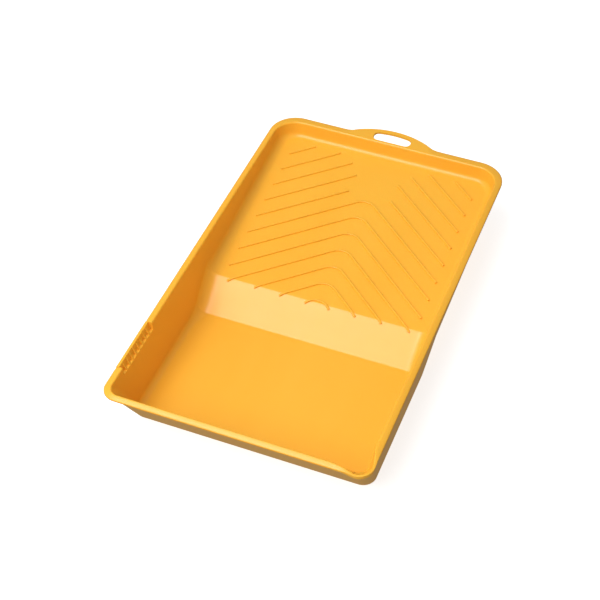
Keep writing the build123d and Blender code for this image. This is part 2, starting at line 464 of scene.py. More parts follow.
@dataclass(frozen=True)
class HangingSlot:
    """Slot through the hanging tab, with the tab's arched edge."""

    arch_radius: float = 76.0
    root_radius: float = 8.0
    strip: float = 4.9
    half_length: float = 19.0
    corner: float = 5.2
    front_gap: float = 0.35
    plate: float = 2.2

    def root(self, places: TrayPlaces) -> Point2:
        """Returns the X where the arch meets its root fillet and the X where that meets the rim."""
        rise = self.arch_radius - (places.tab_back - places.rim_back)
        foot = math.sqrt((self.arch_radius + self.root_radius) ** 2 - (rise + self.root_radius) ** 2)
        return foot * self.arch_radius / (self.arch_radius + self.root_radius), foot

    def outer_y(self, x: float, places: TrayPlaces) -> float:
        """Returns the Y of the rim's outer edge at X, tab included."""
        across = abs(x)
        start, foot = self.root(places)
        if across >= foot:
            return places.rim_back
        if across >= start:
            drop = math.sqrt(self.root_radius**2 - (across - foot) ** 2)
            return places.rim_back + self.root_radius - drop
        return places.tab_back - self.arch_radius + math.sqrt(self.arch_radius**2 - across**2)

    def gap(self, x: float, slot_front: float, places: TrayPlaces) -> Point2:
        """Finds the slot's front and back edges, or where its rows run on beside it.

        Args:
            x: X of the station.
            slot_front: Y of the slot's straight front edge.
            places: places of the tray.

        Returns:
            Y of the front row and of the back row.
        """
        across = abs(x)
        centre_y = places.tab_back - self.arch_radius
        inner_radius = self.arch_radius - self.strip
        middle = self.half_length - self.corner
        high = centre_y + math.sqrt((inner_radius - self.corner) ** 2 - middle**2)
        low = slot_front + self.corner
        if across <= self.half_length:
            bulge = math.sqrt(max(0.0, self.corner**2 - max(0.0, across - middle) ** 2))
            front = low - bulge
            tangent = middle * inner_radius / (inner_radius - self.corner)
            if across <= tangent:
                return front, centre_y + math.sqrt(inner_radius**2 - across**2)
            return front, high + bulge
        t = min(1.0, (across - self.half_length) / 18)
        return mix(low, places.rim_back - 4.7, t), mix(high, places.rim_back - 2.8, t)

    def stations(self, places: TrayPlaces) -> list[float]:
        """Returns the X of the stations that the slot and the tab need, from the middle out."""
        middle = self.half_length - self.corner
        plain = [0.0, 4.8, 9.6]
        bends = [middle + self.corner * math.sin(math.radians(a)) for a in range(0, 91, 15)]
        start, foot = self.root(places)
        tab = [23.0, 27.5, 31.5, 34.8, start, mix(start, foot, 0.35), mix(start, foot, 0.7), foot]
        return plain + bends + tab + [46.0, 52.0, 60.0, 68.0, 76.0, 84.0]


@dataclass
class TrayShell:
    """Floor, drop, ramp, walls, rim, comb pocket, spout and tab as one closed skin."""

    places: TrayPlaces
    spout: Spout = field(default_factory=Spout)
    slot: HangingSlot = field(default_factory=HangingSlot)
    wall: float = 3.5
    back_wall: float = 2.5
    bottom: float = 3.0
    rim_deep: float = 3.3
    side_in: float = 6.5
    front_in: float = 5.1
    back_in: float = 9.8
    side_rate: float = 0.08
    front_rate: float = 0.577
    front_corner: float = 9.0
    back_corner: float = 22.0
    rim_front_corner: float = 14.0
    rim_back_corner: float = 27.0
    well_round: float = 6.0
    ramp_round: float = 8.5
    drop_round: float = 14.0
    front_round: float = 5.0
    back_round: float = 4.0
    under_round: float = 4.0
    inner_round: float = 1.6
    outer_round: float = 1.4
    rim_fall: float = 1.05
    comb_strip: float = 3.0
    comb_depth: float = 8.5
    comb_end: float = 2.4
    corner_steps: int = 12
    close_step: float = 1.6

    def __post_init__(self) -> None:
        """Works out the three outlines and the two floor lines."""
        p = self.places
        self.inside = Outline(
            half_x=p.half_width - self.side_in,
            front=p.rim_front + self.front_in,
            back=p.rim_back - self.back_in,
            front_radius=self.front_corner,
            back_radius=self.back_corner,
            side_rate=self.side_rate,
            front_rate=self.front_rate,
            back_rate=self.side_rate,
        )
        self.outside = Outline(
            half_x=self.inside.half_x + self.wall,
            front=self.inside.front - self.wall * math.hypot(1, self.front_rate),
            back=self.inside.back + self.back_wall,
            front_radius=self.front_corner + self.wall,
            back_radius=self.back_corner + self.wall,
            side_rate=self.side_rate,
            front_rate=self.front_rate,
            back_rate=self.side_rate,
        )
        self.rim = Outline(
            half_x=p.half_width,
            front=p.rim_front,
            back=p.rim_back,
            front_radius=self.rim_front_corner,
            back_radius=self.rim_back_corner,
        )
        self.upper = FloorLine(p.floor, p.foot_line, p.crest, p.crest_height, p.ramp_rise)
        self.lower = self.upper.lowered(self.bottom)

    def front_stations(self, count: int) -> list[float]:
        """Returns X values from the middle of the front to near its corner, closer at the end."""
        end = self.inside.half_x - self.front_corner - 0.6
        close = [end - self.close_step * number for number in range(14)]
        wide = count - len(close)
        spread = [close[-1] * number / wide for number in range(wide)]
        return spread + list(reversed(close))

    def side_stations(self) -> list[Station]:
        """Returns the stations of the left side from front to back; the right side mirrors them."""
        p = self.places
        eases = (-1.0, -0.5, 0.0, 0.5, 1.0)
        bends = [bend + self.upper.ease * e for bend in (p.foot_line, p.crest) for e in eases]
        lower_bends = [
            bend + self.upper.ease * e for bend in (self.lower.foot, self.lower.crest) for e in eases
        ]
        pocket_front = p.comb_front + self.comb_end
        pocket_back = p.comb_back - self.comb_end
        changes = {
            p.comb_front: (RimCut.PLAIN, RimCut.HOUSING),
            pocket_front: (RimCut.HOUSING, RimCut.POCKET),
            pocket_back: (RimCut.POCKET, RimCut.HOUSING),
            p.comb_back: (RimCut.HOUSING, RimCut.PLAIN),
        }
        first = p.rim_front + 16.5
        last = self.inside.back - self.back_corner - 2.0
        close = [first + self.close_step * number for number in range(15)]
        regular = close + [mix(close[-1], last, number / 68) for number in range(1, 69)]
        keep_off = list(changes) + bends + lower_bends
        regular = [y for y in regular if min(abs(y - other) for other in keep_off) > 1.2]
        places = sorted(set(regular + keep_off))
        cut = RimCut.PLAIN
        stations = []
        for y in places:
            if y in changes:
                before, cut = changes[y]
                stations.append(Station(Edge.LEFT, y, before))
            stations.append(Station(Edge.LEFT, y, cut))
        return stations

    def stations(self) -> list[Station]:
        """Returns every station, anticlockwise from the front left corner's end."""
        back_x = self.slot.stations(self.places)
        front_x = self.front_stations(len(back_x))
        front = [-x for x in reversed(front_x[1:])] + front_x
        back = [-x for x in reversed(back_x[1:])] + back_x
        angles = [90 * number / self.corner_steps for number in range(self.corner_steps + 1)]
        left = self.side_stations()
        ring = [Station(Edge.FRONT, x) for x in front]
        ring += [Station(Edge.FRONT_RIGHT, angle) for angle in angles]
        ring += [Station(Edge.RIGHT, station.value) for station in left]
        ring += [Station(Edge.BACK_RIGHT, angle) for angle in angles]
        ring += [Station(Edge.BACK, x) for x in reversed(back)]
        ring += [Station(Edge.BACK_LEFT, angle) for angle in angles]
        ring += list(reversed(left))
        ring += [Station(Edge.FRONT_LEFT, angle) for angle in angles]
        return ring

    def base_depth(self, outline: Outline, line: FloorLine, station: Station) -> float:
        """Finds how deep a wall reaches.

        Args:
            outline: the wall's outline.
            line: side view of the surface that it meets.
            station: place round the outline.

        Returns:
            Depth below the rim's top where the two meet.
        """
        depth = 30.0
        for _ in range(40):
            depth = self.places.top - line.at(outline.at(station, depth)[1])
        return depth

    def base_curve(
        self, outline: Outline, line: FloorLine, station: Station, radius: float, count: int
    ) -> tuple[list[Point3], float]:
        """Rounds the corner where a wall meets the floor or the ramp.

        Args:
            outline: the wall's outline.
            line: side view of the surface that it meets.
            station: place round the outline.
            radius: radius of the rounding.
            count: number of points.

        Returns:
            The points from the floor up to the wall, and the depth of the last one.
        """
        depth = self.base_depth(outline, line, station)
        rate = outline.closing_rate(station)
        angle = math.pi / 2 + math.atan(rate)
        arm = radius / math.tan(angle / 2)
        x, y = outline.at(station, depth)
        inward_x, inward_y = station.inward()
        floor_x, floor_y = x + inward_x * arm, y + inward_y * arm
        on_floor = (floor_x, floor_y, line.at(floor_y))
        wall_depth = depth - arm / math.hypot(1, rate)
        wall_x, wall_y = outline.at(station, wall_depth)
        corner = (x, y, self.places.top - depth)
        on_wall = (wall_x, wall_y, self.places.top - wall_depth)
        return conic(on_floor, corner, on_wall, math.sin(angle / 2), count), wall_depth

    def rim_edge(self, station: Station) -> Point2:
        """Returns the rim's outer edge at a station, with the tab on the back."""
        if station.edge is Edge.BACK:
            return station.value, self.slot.outer_y(station.value, self.places)
        return self.rim.at(station, 0.0)

    def plain_top(self, span: float, slope: float, station: Station) -> list[Point2]:
        """Section of the rim from its inner rounding to its outer edge.

        Args:
            span: distance from the rim's outer edge in to the wall's top.
            slope: how fast the wall closes in with depth.
            station: place round the outline.

        Returns:
            Distances inwards and depths.
        """
        tab = self.tab_share(station)
        angle = math.pi / 2 + math.atan(slope)
        arm = self.inner_round / math.tan(angle / 2)
        edge = mix(self.outer_round, 0.5, tab)
        fall = self.rim_fall * (1 - tab)
        inner = conic(
            (span + slope * self.inner_round, self.inner_round, 0.0),
            (span, 0.0, 0.0),
            (span - arm, 0.0, 0.0),
            math.sin(angle / 2),
            6,
        )
        outer = conic((edge, fall, 0.0), (0.0, fall * 1.4, 0.0), (0.0, fall + edge, 0.0), 0.8, 6)
        flat = max(span - arm - edge, 1.0)
        if station.edge is Edge.BACK:
            outer_y = self.rim_edge(station)[1]
            ends = self.slot.gap(station.value, self.slot_front(), self.places)
            across = [outer_y - y for y in ends]
        else:
            across = [edge + flat * 0.62, edge + flat * 0.3]
        rows = [(u, fall * min(1.0, max(0.0, 1 - (u - edge) / flat)) ** 1.3) for u in across]
        return [(u, d) for u, d, _ in inner] + rows + [(u, d) for u, d, _ in outer]

    def slot_front(self) -> float:
        """Returns the Y of the slot's straight front edge."""
        return self.inside.back + self.back_wall + self.slot.front_gap

    def tab_share(self, station: Station) -> float:
        """Returns 1 on the hanging tab, 0 on plain rim, and eased between."""
        if station.edge is not Edge.BACK:
            return 0.0
        start, foot = self.slot.root(self.places)
        return 1 - smooth_step(abs(station.value), start - 2, foot + 5)

    def pocket_top(self) -> list[Point2]:
        """Returns the rim's section through the comb pocket: ledge, back face and outer strip."""
        wall = self.side_in + self.side_rate * self.comb_depth
        strip = self.comb_strip
        deep = self.comb_depth
        path = [
            (wall - 0.05, deep + 0.25),
            (wall - 0.3, deep),
            (wall - 0.7, deep),
            (strip + 2.1, deep),
            (strip + 1.75, deep - 0.1),
            (strip + 1.6, deep - 0.35),
            (strip + 1.45, deep - 1.0),
            (strip + 0.75, deep * 0.5),
            (strip + 0.08, 0.9),
            (strip - 0.12, 0.35),
            (strip - 0.5, 0.2),
        ]
        outer = conic((1.5, 0.1, 0.0), (0.0, 0.05, 0.0), (0.0, 1.7, 0.0), 0.707, 6)
        return path + [(u, d) for u, d, _ in outer]

    def skirt(self, station: Station, span: float) -> list[Point2]:
        """Section of the rim from its outer face round to its underside.

        Args:
            station: place round the outline.
            span: distance from the rim's outer edge in to the wall's top.

        Returns:
            Distances inwards and depths.
        """
        if station.cut is not RimCut.PLAIN:
            deep = self.comb_depth + self.comb_end
            return [(0, 3), (0, 6), (0, deep - 1.5), (0, deep - 0.4), (0.4, deep), (2.2, deep)]
        deep = self.rim_deep
        _, foot = self.slot.root(self.places)
        if station.edge is not Edge.BACK or abs(station.value) >= foot:
            dip = self.spout.shares(station, self.places, self.rim_front_corner)[1]
            inner = mix((span - self.wall) * 0.5, 0.6, dip)
            return [(0, 2.0), (0, 2.2), (0, 2.5), (0, deep - 0.4), (0.4, deep), (inner, deep)]
        outer_y = self.rim_edge(station)[1]
        plate = self.slot.plate
        front, back = self.slot.gap(station.value, self.slot_front(), self.places)
        if abs(station.value) < self.slot.half_length - 1e-6:
            gap = [(outer_y - back, plate)] + [(outer_y - front, deep)] * 3
            return [(0, plate - 0.3), (0.3, plate)] + gap
        step = max(outer_y - self.places.rim_back, 0.31)
        row = min(outer_y - back, mix(0.3, step, 0.7))
        if abs(station.value) <= self.slot.half_length + 1e-6:
            row = outer_y - back
        under = [(step, plate), (step, deep), (max(outer_y - front, step + 0.2), deep)]
        return [(0, plate - 0.3), (0.3, plate), (row, plate)] + under

    def section(self, station: Station) -> list[Point3]:
        """Builds the skin's section at a station.

        Args:
            station: place round the outline.

        Returns:
            Points from the well's floor up the wall, over the rim and down to the underside.
        """
        top = self.places.top
        edge_x, edge_y = self.rim_edge(station)
        wall_x, wall_y = self.inside.at(station, 0.0)
        span = math.hypot(wall_x - edge_x, wall_y - edge_y)
        shares = self.spout.shares(station, self.places, self.rim_front_corner)
        dip = shares[1]
        slope = self.inside.closing_rate(station)

        small = self.spout.shrink(span, shares[0])

        def spread(inward: float, depth: float) -> Point3:
            """Returns the place of a point given by distance inwards and depth."""
            away = inward / span
            return (mix(edge_x, wall_x, away), mix(edge_y, wall_y, away), top - depth)

        def placed(inward: float, depth: float) -> Point3:
            """Returns the place of a point of the rim's top, made smaller on the spout."""
            return spread(inward * small, depth * small + self.spout.dip * dip)

        def on_wall(depth: float) -> Point3:
            """Returns a point of the inner wall, laid back on the spout."""
            if shares[0] <= 0.0 or depth >= self.spout.reach:
                return (*self.inside.at(station, depth), top - depth)
            return spread(*self.spout.inner(depth, span, slope, self.inner_round, shares))

        radius = self.base_round(station)
        points, base = self.base_curve(self.inside, self.upper, station, radius, 8)
        stop = min(self.spout.reach, self.inner_round + 0.6 * (base - self.inner_round))
        for share_down in (0.75, 0.5, 0.3, 0.22, 0.15, 0.08, 0.0):
            points.append(on_wall(stop + (base - stop) * share_down))
        if station.cut is RimCut.POCKET:
            points += [placed(u, d) for u, d in self.pocket_top()]
        else:
            for up in (0.3, 0.58, 0.82):
                points.append(on_wall(mix(stop, self.inner_round, up)))
            points += [placed(u, d) for u, d in self.plain_top(span, slope, station)]
        deepening = self.spout.deepening * dip
        for inward, depth in self.skirt(station, span):
            away = inward / span
            lowered = depth + deepening + self.spout.dip * dip * 0.45 * (1 - depth / 9)
            points.append((mix(edge_x, wall_x, away), mix(edge_y, wall_y, away), top - lowered))
        under, under_depth = self.base_curve(self.outside, self.lower, station, self.under_round, 8)
        deep = self.rim_deep + deepening + self.spout.dip * dip * 0.3
        if station.cut is not RimCut.PLAIN:
            deep = self.comb_depth + self.comb_end
        start = min(12.5, self.rim_deep + 0.5 * (under_depth - self.rim_deep))
        rows = (deep, start, *(mix(start, under_depth, s) for s in (0.12, 0.3, 0.5, 0.75)))
        at_lip = self.spout.inner(self.inner_round, span, slope, self.inner_round, shares)
        at_foot = (span + slope * self.spout.reach, self.spout.reach)
        for depth in rows:
            x, y = self.outside.at(station, depth)
            if shares[0] > 0.0:
                reach = math.hypot(x - edge_x, y - edge_y)
                away = self.spout.outer(depth, reach, at_lip, at_foot) / reach
                x, y = mix(edge_x, x, away), mix(edge_y, y, away)
            points.append((x, y, top - depth))
        return points + list(reversed(under))

    def base_round(self, station: Station) -> float:
        """Returns the radius where the inner wall meets the floor or the ramp at a station."""
        inward_x, inward_y = station.inward()
        ends = self.front_round if inward_y > 0 else self.back_round
        y = self.inside.at(station, 0.0)[1]
        middle = (self.places.foot_line + self.places.crest) / 2
        sides = mix(self.well_round, self.ramp_round, smooth_step(y, middle - 22, middle + 22))
        on_drop = smooth_step(y, middle - 34, middle - 8) * smooth_step(-y, -middle - 38, -middle - 8)
        return mix(ends, mix(sides, self.drop_round, on_drop), inward_x * inward_x)

    def ladder(
        self, ring: Sequence[Point3], columns: int, corner: int, side: int, line: FloorLine
    ) -> list[list[Point3]]:
        """Fills the floor and ramp between the foot of the walls with straight rows.

        Args:
            ring: the surface's outline, one point for each station.
            columns: number of stations on the front and on the back.
            corner: number of stations in a corner.
            side: number of stations on a side.
            line: side view of the surface.

        Returns:
            Rows of points from front to back, each from left to right.
        """
        total = len(ring)
        reach = 2 * corner + side
        rows = []
        for step in range(reach):
            right = ring[columns + step]
            left = ring[(total - 1 - step) % total]
            if step == 0:
                middle = list(ring[:columns])
            elif step == reach - 1:
                middle = list(reversed(ring[columns + reach : 2 * columns + reach]))
            else:
                middle = []
            rows.append([left, *middle, right])
        front_shares = self.shares(rows[0])
        back_shares = self.shares(rows[-1])
        for step in range(1, reach - 1):
            left, right = rows[step]
            t = step / (reach - 1)
            shares = [mix(a, b, t) for a, b in zip(front_shares, back_shares)]
            inner = []
            for share in shares[1:-1]:
                y = mix(left[1], right[1], share)
                inner.append((mix(left[0], right[0], share), y, line.at(y)))
            rows[step] = [left, *inner, right]
        return rows

    @staticmethod
    def shares(row: Sequence[Point3]) -> list[float]:
        """Returns how far across its row each point lies, from 0 to 1."""
        width = row[-1][0] - row[0][0]
        return [(point[0] - row[0][0]) / width for point in row]

    def build(self) -> bpy.types.Object:
        """Builds the closed skin.

        Returns:
            The shell's object.
        """
        stations = self.stations()
        sections = [self.section(station) for station in stations]
        bm = bmesh.new()
        grid = [
            [bm.verts.new((x * MM, y * MM, z * MM)) for x, y, z in section] for section in sections
        ]
        size = len(sections[0])
        self.skin_faces(bm, grid, stations, size)
        columns = sum(1 for s in stations if s.edge is Edge.FRONT)
        side = sum(1 for s in stations if s.edge is Edge.RIGHT)
        corner = self.corner_steps + 1
        for index, line in ((0, self.upper), (size - 1, self.lower)):
            ring = [section[index] for section in sections]
            rows = self.ladder(ring, columns, corner, side, line)
            verts = [[bm.verts.new((x * MM, y * MM, z * MM)) for x, y, z in row] for row in rows]
            for near, far in zip(verts, verts[1:]):
                for number in range(len(near) - 1):
                    bm.faces.new((near[number], near[number + 1], far[number + 1], far[number]))
        bmesh.ops.remove_doubles(bm, verts=bm.verts, dist=0.5e-6)
        bmesh.ops.dissolve_degenerate(bm, edges=bm.edges, dist=0.5e-6)
        bmesh.ops.recalc_face_normals(bm, faces=bm.faces)
        for face in bm.faces:
            face.smooth = True
        open_edges = sum(1 for edge in bm.edges if len(edge.link_faces) != 2)
        LOG.info("shell: %d edges that don't join two faces", open_edges)
        mesh = bpy.data.meshes.new("tray_shell")
        bm.to_mesh(mesh)
        bm.free()
        mesh.set_sharp_from_angle(angle=math.radians(42))
        piece = join_object("tray_shell", mesh)
        weighted = piece.modifiers.new("even_shading", "WEIGHTED_NORMAL")
        weighted.keep_sharp = True
        weighted.weight = 60
        return piece

    def skin_faces(
        self, bm: bmesh.types.BMesh, grid: list[list[Any]], stations: list[Station], size: int
    ) -> None:
        """Joins neighbouring sections with faces, and opens the hanging slot.

        Args:
            bm: mesh to add to.
            grid: vertices, by station and then along the section.
            stations: the stations.
            size: number of points in a section.
        """
        top_rows = self.slot_rows()
        front_top, back_top, back_under, front_under = top_rows
        total = len(stations)
        for number in range(total):
            here, there = grid[number], grid[(number + 1) % total]
            pair = (stations[number], stations[(number + 1) % total])
            open_here = all(
                s.edge is Edge.BACK and abs(s.value) <= self.slot.half_length + 1e-6 for s in pair
            )
            for row in range(size - 1):
                if open_here and (row == front_top or back_under <= row < front_under):
                    continue
                bm.faces.new((here[row], there[row], there[row + 1], here[row + 1]))
            if open_here:
                bm.faces.new((here[front_top], there[front_top], there[front_under], here[front_under]))
                bm.faces.new((here[back_top], there[back_top], there[back_under], here[back_under]))
        for number, station in enumerate(stations):
            if station.edge is Edge.BACK and abs(abs(station.value) - self.slot.half_length) < 1e-6:
                rows = [front_top, back_top, *range(back_under, front_under + 1)]
                bm.faces.new([grid[number][row] for row in rows])

    def slot_rows(self) -> tuple[int, int, int, int]:
        """Returns the section's indices at the slot: top front, top back, under back, under front."""
        before_rim = 8 + 7 + 3
        front_top = before_rim + 6
        skirt = before_rim + 6 + 2 + 6
        return front_top, front_top + 1, skirt + 2, skirt + 5


class Socket:
    """Shader socket that can be added, subtracted, multiplied and divided like a number."""

    def __init__(self, shader: "ShaderTree", socket: Any) -> None:
        """Keeps the tree and one of its output sockets."""
        self.shader = shader
        self.socket = socket

    def math(self, operation: str, *values: Any) -> "Socket":
        """Returns the result of a Math node on values, in order."""
        return self.shader.node("ShaderNodeMath", {"operation": operation}, dict(enumerate(values)))

    def __add__(self, other: Any) -> "Socket":
        """Returns self + other."""
        return self.math("ADD", self, other)

    def __radd__(self, other: Any) -> "Socket":
        """Returns other + self."""
        return self.math("ADD", other, self)

    def __sub__(self, other: Any) -> "Socket":
        """Returns self - other."""
        return self.math("SUBTRACT", self, other)

    def __rsub__(self, other: Any) -> "Socket":
        """Returns other - self."""
        return self.math("SUBTRACT", other, self)

    def __mul__(self, other: Any) -> "Socket":
        """Returns self * other."""
        return self.math("MULTIPLY", self, other)

    def __rmul__(self, other: Any) -> "Socket":
        """Returns other * self."""
        return self.math("MULTIPLY", other, self)

    def __truediv__(self, other: Any) -> "Socket":
        """Returns self / other."""
        return self.math("DIVIDE", self, other)

    def clamped(self) -> "Socket":
        """Returns the value kept between 0 and 1."""
        return self.shader.node("ShaderNodeClamp", {}, {0: self})


class ShaderTree:
    """Node tree of one material."""

    def __init__(self, name: str) -> None:
        """Starts an empty material of that name."""
        self.material = bpy.data.materials.new(name)
        self.material.use_nodes = True
        self.tree = self.material.node_tree
        self.tree.nodes.clear()

    def raw(self, kind: str, settings: dict[str, Any], inputs: dict[Any, Any]) -> Any:
        """Adds a node.

        Args:
            kind: the node's type.
            settings: attributes set before its sockets; "stops" sets a ramp's colours.
            inputs: values or sockets by input name or number.

        Returns:
            The node.
        """
        node = self.tree.nodes.new(kind)
        for name, value in settings.items():
            if name == "stops":
                ramp = node.color_ramp.elements
                while len(ramp) < len(value):
                    ramp.new(0.5)
                for element, (position, colour) in zip(ramp, value):
                    element.position = position
                    element.color = colour
            else:
                setattr(node, name, value)
        for name, value in inputs.items():
            if isinstance(value, Socket):
                self.tree.links.new(value.socket, node.inputs[name])
            else:
                node.inputs[name].default_value = value
        return node

    def node(
        self, kind: str, settings: dict[str, Any], inputs: dict[Any, Any], output: Any = 0
    ) -> Socket:
        """Adds a node and returns one of its outputs as a socket.

        Args:
            kind: the node's type.
            settings: attributes set before its sockets.
            inputs: values or sockets by input name or number.
            output: name or number of the output.

        Returns:
            The wrapped output.
        """
        return Socket(self, self.raw(kind, settings, inputs).outputs[output])

    def place(self, scale: Point3 = (1.0, 1.0, 1.0)) -> Socket:
        """Returns object coordinates, stretched by a scale."""
        coordinates = self.node("ShaderNodeTexCoord", {}, {}, "Object")
        return self.node("ShaderNodeMapping", {}, {"Vector": coordinates, "Scale": scale})

    def noise(self, scale: float, detail: float, rough: float, stretch: Point3) -> Socket:
        """Returns cloudy noise.

        Args:
            scale: number of lumps in a metre.
            detail: number of finer layers.
            rough: strength of the finer layers.
            stretch: how the pattern is squeezed along each axis.
        """
        inputs = {"Vector": self.place(stretch), "Scale": scale, "Detail": detail, "Roughness": rough}
        return self.node("ShaderNodeTexNoise", {"noise_dimensions": "3D"}, inputs, "Fac")

    def colour(self, share: Socket, low: Sequence[float], high: Sequence[float]) -> Socket:
        """Returns a colour between two, by a share from 0 to 1."""
        settings = {"data_type": "RGBA", "blend_type": "MIX"}
        return self.node("ShaderNodeMix", settings, {0: share, 6: (*low, 1.0), 7: (*high, 1.0)}, 2)


@dataclass(frozen=True)
class MouldedPlastic:
    """Satin polypropylene: even colour with faint clouding, fine grain and soft gloss."""

    name: str
    colour: Point3 = (0.92, 0.470, 0.042)
    deep_colour: Point3 = (0.90, 0.43, 0.030)
    clouding: float = 9.0
    roughness: float = 0.31
    roughness_swing: float = 0.10
    grain_scale: float = 900.0
    grain_height: float = 0.012
    sink_height: float = 0.25
    translucency: float = 0.08

    def build(self) -> bpy.types.Material:
        """Returns the finished material."""
        tree = ShaderTree(self.name)
        cloud = tree.noise(self.clouding, 3.0, 0.55, (1.0, 0.6, 1.0))
        flow = tree.noise(26.0, 2.0, 0.5, (1.0, 0.22, 1.0))
        share = ((cloud - 0.5) * 1.3 + (flow - 0.5) * 0.7 + 0.5).clamped()
        colour = tree.colour(share, self.deep_colour, self.colour)
        smudge = tree.noise(55.0, 4.0, 0.6, (1.0, 1.0, 1.0))
        roughness = (smudge - 0.5) * self.roughness_swing + self.roughness
        grain = tree.noise(self.grain_scale, 2.0, 0.6, (1.0, 1.0, 1.0))
        sink = tree.noise(14.0, 1.0, 0.4, (1.0, 0.7, 1.0))
        fine = tree.node(
            "ShaderNodeBump",
            {},
            {"Strength": 0.35, "Distance": self.grain_height * MM, "Height": grain},
        )
        bump = tree.node(
            "ShaderNodeBump",
            {},
            {"Strength": 0.5, "Distance": self.sink_height * MM, "Height": sink, "Normal": fine},
        )
        shader = tree.raw(
            "ShaderNodeBsdfPrincipled",
            {},
            {"Base Color": colour, "Roughness": roughness, "Normal": bump},
        )
        shader.inputs["IOR"].default_value = 1.49
        shader.inputs["Subsurface Weight"].default_value = self.translucency
        shader.inputs["Subsurface Radius"].default_value = (1.0, 0.45, 0.12)
        shader.inputs["Subsurface Scale"].default_value = 0.004
        output = tree.raw("ShaderNodeOutputMaterial", {}, {})
        tree.tree.links.new(shader.outputs[0], output.inputs["Surface"])
        return tree.material


class RibTree:
    """Geometry node tree with named inputs, and the calls that fill it."""

    def __init__(self, name: str, inputs: dict[str, tuple[str, Any]]) -> None:
        """Starts a tree.

        Args:
            name: name of the tree.
            inputs: socket type and value of each named input.
        """
        self.tree = bpy.data.node_groups.new(name, "GeometryNodeTree")
        self.values: dict[str, Any] = {}
        self.identifiers: dict[str, str] = {}
        for label, (kind, value) in inputs.items():
            item = self.tree.interface.new_socket(label, in_out="INPUT", socket_type=kind)
            self.identifiers[label] = item.identifier
            self.values[label] = value
        self.tree.interface.new_socket("Geometry", in_out="OUTPUT", socket_type="NodeSocketGeometry")
        self.start = self.tree.nodes.new("NodeGroupInput")
        self.end = self.tree.nodes.new("NodeGroupOutput")

    def input(self, label: str) -> Any:
        """Returns the output socket of a named input."""
        return self.start.outputs[label]

    def node(self, kind: str, settings: dict[str, Any], inputs: dict[Any, Any]) -> Any:
        """Adds a node.

        Args:
            kind: the node's type.
            settings: attributes set before its sockets.
            inputs: values or output sockets by input name or number.

        Returns:
            The node.
        """
        node = self.tree.nodes.new(kind)
        for name, value in settings.items():
            setattr(node, name, value)
        for name, value in inputs.items():
            if isinstance(value, bpy.types.NodeSocket):
                self.tree.links.new(value, node.inputs[name])
            else:
                node.inputs[name].default_value = value
        return node

    def sum(self, operation: str, *values: Any) -> Any:
        """Returns the output of a Math node on values, in order."""
        node = self.node("ShaderNodeMath", {"operation": operation}, dict(enumerate(values)))
        return node.outputs[0]

    def vector(self, x: Any, y: Any, z: Any) -> Any:
        """Returns a vector socket made of three values."""
        return self.node("ShaderNodeCombineXYZ", {}, {0: x, 1: y, 2: z}).outputs[0]

    def finish(self, geometry: Any) -> None:
        """Ends the tree in Realize Instances and Set Material."""
        real = self.node("GeometryNodeRealizeInstances", {}, {"Geometry": geometry})
        coated = self.node(
            "GeometryNodeSetMaterial",
            {},
            {"Geometry": real.outputs[0], "Material": self.input("Material")},
        )
        self.tree.links.new(coated.outputs[0], self.end.inputs[0])

    def mesh(self, name: str) -> bpy.types.Mesh:
        """Evaluates the tree once.

        Args:
            name: name of the mesh.

        Returns:
            A plain mesh with nothing live on it.
        """
        host = bpy.data.objects.new(name + "_host", bpy.data.meshes.new(name + "_host"))
        bpy.context.scene.collection.objects.link(host)
        modifier = host.modifiers.new("rule", "NODES")
        modifier.node_group = self.tree
        for label, value in self.values.items():
            modifier[self.identifiers[label]] = value
        graph = bpy.context.evaluated_depsgraph_get()
        graph.update()
        mesh = bpy.data.meshes.new_from_object(host.evaluated_get(graph), depsgraph=graph)
        host.modifiers.remove(modifier)
        bpy.data.objects.remove(host)
        return mesh


